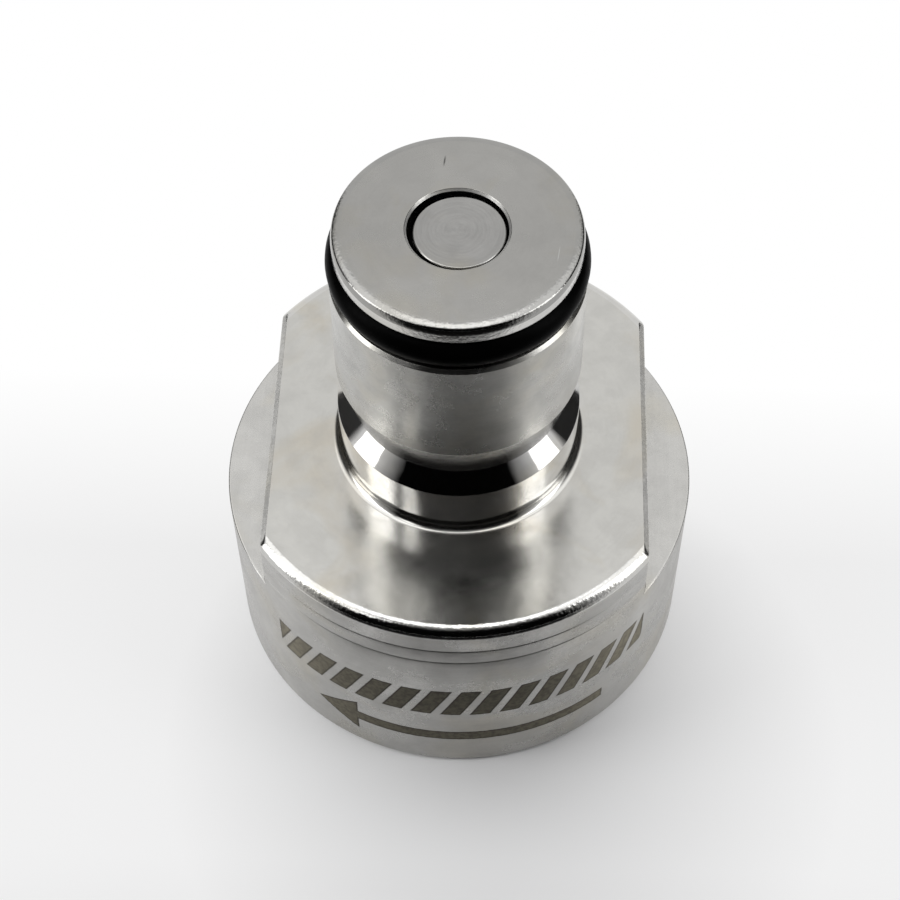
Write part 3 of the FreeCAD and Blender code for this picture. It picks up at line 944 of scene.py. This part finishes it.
# A dark sheet of painted shade in front, seen only in the steel's reflections.
front_shade_sheet("front_shade_sheet", 64)


def soft_edged(material, low, high, edge, top, top_edge, fading):
    """Lets a cloth fade out towards its sides and its top, by the angles from the front and the floor.

    Towards the top it lets through the share of the way over its top edge, to the power of the fading.
    """
    tree = material.node_tree
    shader = tree.nodes["Principled BSDF"]
    place = tree.nodes["Texture Coordinate"].outputs["Object"]
    parts = add(tree, "ShaderNodeSeparateXYZ", {0: place}).outputs
    angle = calc(tree, "ARCTAN2", parts[0], calc(tree, "MULTIPLY", parts[1], -1))
    low, high, edge = math.radians(low), math.radians(high), math.radians(edge)
    rise = spread(tree, angle, low, low + edge, 0, 1)
    cover = calc(tree, "MULTIPLY", rise, spread(tree, angle, high - edge, high, 1, 0))
    squares = [calc(tree, "POWER", part, 2.0) for part in parts[:2]]
    flat = calc(tree, "SQRT", calc(tree, "ADD", *squares))
    climb = calc(tree, "ARCTAN2", parts[2], flat)
    top, top_edge = math.radians(top), math.radians(top_edge)
    let_through = calc(tree, "POWER", spread(tree, climb, top - top_edge, top, 0, 1), fading)
    cover = calc(tree, "MULTIPLY", cover, calc(tree, "SUBTRACT", 1.0, let_through))
    tree.links.new(cover, shader.inputs["Alpha"])


def hung_cloth(name, azimuths, elevations, edge, top_edge, fading=1.0, shade=0.003):
    """A dark cloth on part of a sphere: distance * (sin a cos e, -cos a cos e, sin e)."""
    turns, rises = np.radians(np.linspace(*azimuths, 33)), np.radians(np.linspace(*elevations, 17))
    turn, rise = np.meshgrid(turns, rises)
    grid = np.stack([np.sin(turn) * np.cos(rise), -np.cos(turn) * np.cos(rise), np.sin(rise)], axis=-1)
    grid = grid * cloth_distance
    material = plain_cloth(name, (shade, shade, shade))
    soft_edged(material, *azimuths, edge, elevations[1], top_edge, fading)
    cloth = stage_sheet(name, grid, material)
    cloth.visible_camera = False


hung_cloth("front_cloth", (-70, 70), (0.5, 89), 24, 39, 2.0)
hung_cloth("left_cloth", (-150, -90), (0.5, 46), 5, 14, shade=0.07)
hung_cloth("right_cloth", (90, 150), (0.5, 46), 5, 14, shade=0.045)


def soft_box(name, azimuth, elevation, distance, width, height, radiance):
    """A flat lamp that faces the object: azimuth 0 is the front and 90 the right."""
    turn, rise = math.radians(azimuth), math.radians(elevation)
    out = Vector((math.sin(turn) * math.cos(rise), -math.cos(turn) * math.cos(rise), math.sin(rise)))
    lamp = bpy.data.lights.new(name, "AREA")
    lamp.shape = "RECTANGLE"
    lamp.size = width * mm
    lamp.size_y = height * mm
    lamp.energy = radiance * math.pi * lamp.size * lamp.size_y
    made = bpy.data.objects.new(name, lamp)
    made.location = (out * distance + Vector((0, 0, studio_middle))) * mm
    made.rotation_euler = out.to_track_quat("Z", "Y").to_euler()
    made.visible_camera = False
    bpy.context.scene.collection.objects.link(made)


soft_box("left_soft_box", -78, 33, 320, 115, 290, 2.5)
soft_box("right_soft_box", 77, 33, 320, 110, 290, 2.3)
soft_box("left_high_box", -105, 64, 320, 260, 150, 0.7)
soft_box("right_high_box", 105, 64, 320, 260, 150, 0.5)
soft_box("left_strip", -46, 55, 300, 42, 105, 2.0)
soft_box("top_soft_box", 180, 85, 480, 220, 200, 1.5)

world = bpy.data.worlds.new("studio")
world.use_nodes = True
world.node_tree.nodes["Background"].inputs["Color"].default_value = (0.95, 0.95, 0.95, 1)
world.node_tree.nodes["Background"].inputs["Strength"].default_value = 1.0
bpy.context.scene.world = world

# Camera: above and in front, almost in line with the axis between the two flats.
camera_place = Vector((2.975, -83.541, 138.55))
camera_aim = Vector((-0.504, -3.241, 21.0))
camera_roll = -0.642
camera = bpy.data.objects.new("camera", bpy.data.cameras.new("camera"))
camera.data.sensor_width = 36
camera.data.lens = 81.18
camera.data.clip_start = 0.01
camera.data.clip_end = 20
camera.location = camera_place * mm
look = (camera_aim - camera_place).to_track_quat("-Z", "Y")
camera.rotation_euler = (look @ Quaternion((0, 0, 1), math.radians(camera_roll))).to_euler()
bpy.context.scene.collection.objects.link(camera)
bpy.context.scene.camera = camera
bpy.context.scene.view_settings.view_transform = "Standard"
